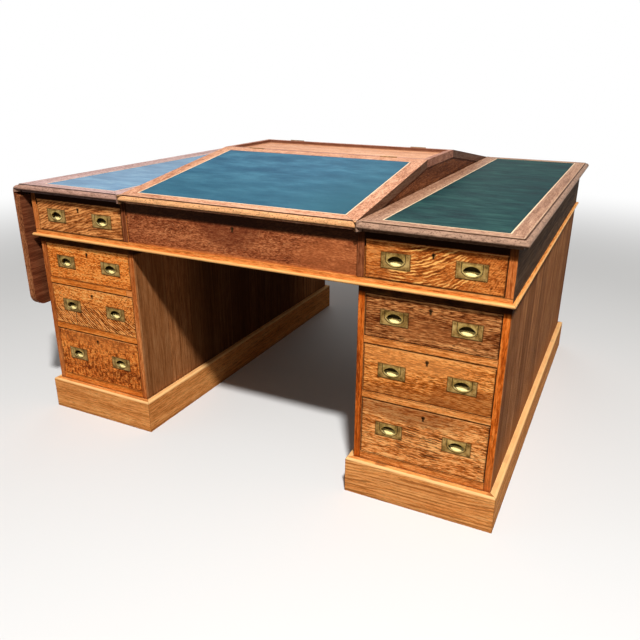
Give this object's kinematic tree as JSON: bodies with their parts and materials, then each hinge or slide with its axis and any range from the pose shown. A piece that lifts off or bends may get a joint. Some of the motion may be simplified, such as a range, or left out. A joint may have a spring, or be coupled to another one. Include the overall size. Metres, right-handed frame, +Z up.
{
  "type": "partners desk",
  "caption": "Oak partners desk with two drawer pedestals, leather-topped flats, sloping writing lids about a pen tray, flush brass handles and a drop leaf.",
  "frame": {"origin": "centre of the bounding box, on the floor", "axes": "+X to the right of the person seated at the front, +Y away from them towards the back, +Z up"},
  "size_m": [1.527, 1.384, 0.8444],
  "materials": {
    "oak": "waxed quarter-sawn oak, honey brown",
    "drawer_oak": "waxed quarter-sawn oak with strong ray figure",
    "plinth_oak": "waxed light oak",
    "top_oak": "polished brown oak",
    "dark_oak": "dark polished oak",
    "leather": "semi-gloss dark green leather",
    "brass": "aged lacquered brass"
  },
  "bodies": {
    "desk": {"left_pedestal": "oak", "right_pedestal": "oak", "left_plinth": "plinth_oak", "right_plinth": "plinth_oak", "frieze_case": "oak", "lopers": "oak", "waist_moulding": "oak", "centre_panels": "oak", "lid_locks": "brass", "cheeks": "dark_oak", "left_top": "top_oak", "right_top": "top_oak", "top_leathers": "leather", "pen_tray": "top_oak", "fixed_hinges": "brass"},
    "left_bottom_drawer": {"left_bottom_drawer": "drawer_oak", "left_bottom_drawer_brass": "brass"},
    "left_bottom_drawer_bails": {"left_bottom_drawer_bails": "brass"},
    "left_middle_drawer": {"left_middle_drawer": "drawer_oak", "left_middle_drawer_brass": "brass"},
    "left_middle_drawer_bails": {"left_middle_drawer_bails": "brass"},
    "left_top_drawer": {"left_top_drawer": "drawer_oak", "left_top_drawer_brass": "brass"},
    "left_top_drawer_bails": {"left_top_drawer_bails": "brass"},
    "right_bottom_drawer": {"right_bottom_drawer": "drawer_oak", "right_bottom_drawer_brass": "brass"},
    "right_bottom_drawer_bails": {"right_bottom_drawer_bails": "brass"},
    "right_middle_drawer": {"right_middle_drawer": "drawer_oak", "right_middle_drawer_brass": "brass"},
    "right_middle_drawer_bails": {"right_middle_drawer_bails": "brass"},
    "right_top_drawer": {"right_top_drawer": "drawer_oak", "right_top_drawer_brass": "brass"},
    "right_top_drawer_bails": {"right_top_drawer_bails": "brass"},
    "front_left_frieze_drawer": {"front_left_frieze_drawer": "drawer_oak", "front_left_frieze_drawer_brass": "brass"},
    "front_left_frieze_drawer_bails": {"front_left_frieze_drawer_bails": "brass"},
    "front_right_frieze_drawer": {"front_right_frieze_drawer": "drawer_oak", "front_right_frieze_drawer_brass": "brass"},
    "front_right_frieze_drawer_bails": {"front_right_frieze_drawer_bails": "brass"},
    "back_left_frieze_drawer": {"back_left_frieze_drawer": "drawer_oak", "back_left_frieze_drawer_brass": "brass"},
    "back_left_frieze_drawer_bails": {"back_left_frieze_drawer_bails": "brass"},
    "back_right_frieze_drawer": {"back_right_frieze_drawer": "drawer_oak", "back_right_frieze_drawer_brass": "brass"},
    "back_right_frieze_drawer_bails": {"back_right_frieze_drawer_bails": "brass"},
    "left_cupboard_door": {"left_cupboard_door": "oak", "left_cupboard_door_brass": "brass"},
    "left_cupboard_door_bail": {"left_cupboard_door_bail": "brass"},
    "right_cupboard_door": {"right_cupboard_door": "oak", "right_cupboard_door_brass": "brass"},
    "right_cupboard_door_bail": {"right_cupboard_door_bail": "brass"},
    "front_lid": {"front_lid": "top_oak", "front_lid_leather": "leather", "front_lid_hinges": "brass"},
    "back_lid": {"back_lid": "top_oak", "back_lid_leather": "leather", "back_lid_hinges": "brass"},
    "drop_leaf": {"drop_leaf": "oak", "drop_leaf_hinges": "brass"}
  },
  "joints": [
    {"name": "left_bottom_drawer_slide", "type": "slide", "parent": "desk", "child": "left_bottom_drawer", "axis": [0, -1, 0], "range_m": [0, 0.42]},
    {"name": "left_bottom_drawer_bails_swing", "type": "hinge", "parent": "left_bottom_drawer", "child": "left_bottom_drawer_bails", "pos_m": [-0.5325, -0.6522, 0.2244], "axis": [-1, 0, 0], "range_deg": [0, 90]},
    {"name": "left_middle_drawer_slide", "type": "slide", "parent": "desk", "child": "left_middle_drawer", "axis": [0, -1, 0], "range_m": [0, 0.42]},
    {"name": "left_middle_drawer_bails_swing", "type": "hinge", "parent": "left_middle_drawer", "child": "left_middle_drawer_bails", "pos_m": [-0.5325, -0.6522, 0.3939], "axis": [-1, 0, 0], "range_deg": [0, 90]},
    {"name": "left_top_drawer_slide", "type": "slide", "parent": "desk", "child": "left_top_drawer", "axis": [0, -1, 0], "range_m": [0, 0.42]},
    {"name": "left_top_drawer_bails_swing", "type": "hinge", "parent": "left_top_drawer", "child": "left_top_drawer_bails", "pos_m": [-0.5325, -0.6522, 0.5384], "axis": [-1, 0, 0], "range_deg": [0, 90]},
    {"name": "right_bottom_drawer_slide", "type": "slide", "parent": "desk", "child": "right_bottom_drawer", "axis": [0, -1, 0], "range_m": [0, 0.42]},
    {"name": "right_bottom_drawer_bails_swing", "type": "hinge", "parent": "right_bottom_drawer", "child": "right_bottom_drawer_bails", "pos_m": [0.5535, -0.6522, 0.2244], "axis": [-1, 0, 0], "range_deg": [0, 90]},
    {"name": "right_middle_drawer_slide", "type": "slide", "parent": "desk", "child": "right_middle_drawer", "axis": [0, -1, 0], "range_m": [0, 0.42]},
    {"name": "right_middle_drawer_bails_swing", "type": "hinge", "parent": "right_middle_drawer", "child": "right_middle_drawer_bails", "pos_m": [0.5535, -0.6522, 0.3939], "axis": [-1, 0, 0], "range_deg": [0, 90]},
    {"name": "right_top_drawer_slide", "type": "slide", "parent": "desk", "child": "right_top_drawer", "axis": [0, -1, 0], "range_m": [0, 0.42]},
    {"name": "right_top_drawer_bails_swing", "type": "hinge", "parent": "right_top_drawer", "child": "right_top_drawer_bails", "pos_m": [0.5535, -0.6522, 0.5384], "axis": [-1, 0, 0], "range_deg": [0, 90]},
    {"name": "front_left_frieze_drawer_slide", "type": "slide", "parent": "desk", "child": "front_left_frieze_drawer", "axis": [0, -1, 0], "range_m": [0, 0.38]},
    {"name": "front_left_frieze_drawer_bails_swing", "type": "hinge", "parent": "front_left_frieze_drawer", "child": "front_left_frieze_drawer_bails", "pos_m": [-0.5325, -0.6642, 0.6864], "axis": [-1, 0, 0], "range_deg": [0, 90]},
    {"name": "front_right_frieze_drawer_slide", "type": "slide", "parent": "desk", "child": "front_right_frieze_drawer", "axis": [0, -1, 0], "range_m": [0, 0.38]},
    {"name": "front_right_frieze_drawer_bails_swing", "type": "hinge", "parent": "front_right_frieze_drawer", "child": "front_right_frieze_drawer_bails", "pos_m": [0.5535, -0.6642, 0.6864], "axis": [-1, 0, 0], "range_deg": [0, 90]},
    {"name": "back_left_frieze_drawer_slide", "type": "slide", "parent": "desk", "child": "back_left_frieze_drawer", "axis": [0, 1, 0], "range_m": [0, 0.38]},
    {"name": "back_left_frieze_drawer_bails_swing", "type": "hinge", "parent": "back_left_frieze_drawer", "child": "back_left_frieze_drawer_bails", "pos_m": [-0.5325, 0.6642, 0.6864], "axis": [1, 0, 0], "range_deg": [0, 90]},
    {"name": "back_right_frieze_drawer_slide", "type": "slide", "parent": "desk", "child": "back_right_frieze_drawer", "axis": [0, 1, 0], "range_m": [0, 0.38]},
    {"name": "back_right_frieze_drawer_bails_swing", "type": "hinge", "parent": "back_right_frieze_drawer", "child": "back_right_frieze_drawer_bails", "pos_m": [0.5535, 0.6642, 0.6864], "axis": [1, 0, 0], "range_deg": [0, 90]},
    {"name": "left_cupboard_door_hinge", "type": "hinge", "parent": "desk", "child": "left_cupboard_door", "pos_m": [-0.69963, 0.6555, 0.3545], "axis": [0, 0, 1], "range_deg": [0, 95]},
    {"name": "left_cupboard_door_bail_swing", "type": "hinge", "parent": "left_cupboard_door", "child": "left_cupboard_door_bail", "pos_m": [-0.408, 0.6537, 0.4089], "axis": [1, 0, 0], "range_deg": [0, 90]},
    {"name": "right_cupboard_door_hinge", "type": "hinge", "parent": "desk", "child": "right_cupboard_door", "pos_m": [0.72062, 0.6555, 0.3545], "axis": [0, 0, -1], "range_deg": [0, 95]},
    {"name": "right_cupboard_door_bail_swing", "type": "hinge", "parent": "right_cupboard_door", "child": "right_cupboard_door_bail", "pos_m": [0.429, 0.6537, 0.4089], "axis": [1, 0, 0], "range_deg": [0, 90]},
    {"name": "front_lid_hinge", "type": "hinge", "parent": "desk", "child": "front_lid", "pos_m": [0.0105, -0.14535, 0.842], "axis": [-1, 0, 0], "range_deg": [0, 100]},
    {"name": "back_lid_hinge", "type": "hinge", "parent": "desk", "child": "back_lid", "pos_m": [0.0105, 0.14535, 0.842], "axis": [1, 0, 0], "range_deg": [0, 100]},
    {"name": "drop_leaf_hinge", "type": "hinge", "parent": "desk", "child": "drop_leaf", "pos_m": [-0.7435, 0, 0.742], "axis": [0, 1, 0], "range_deg": [0, 90]}
  ]
}
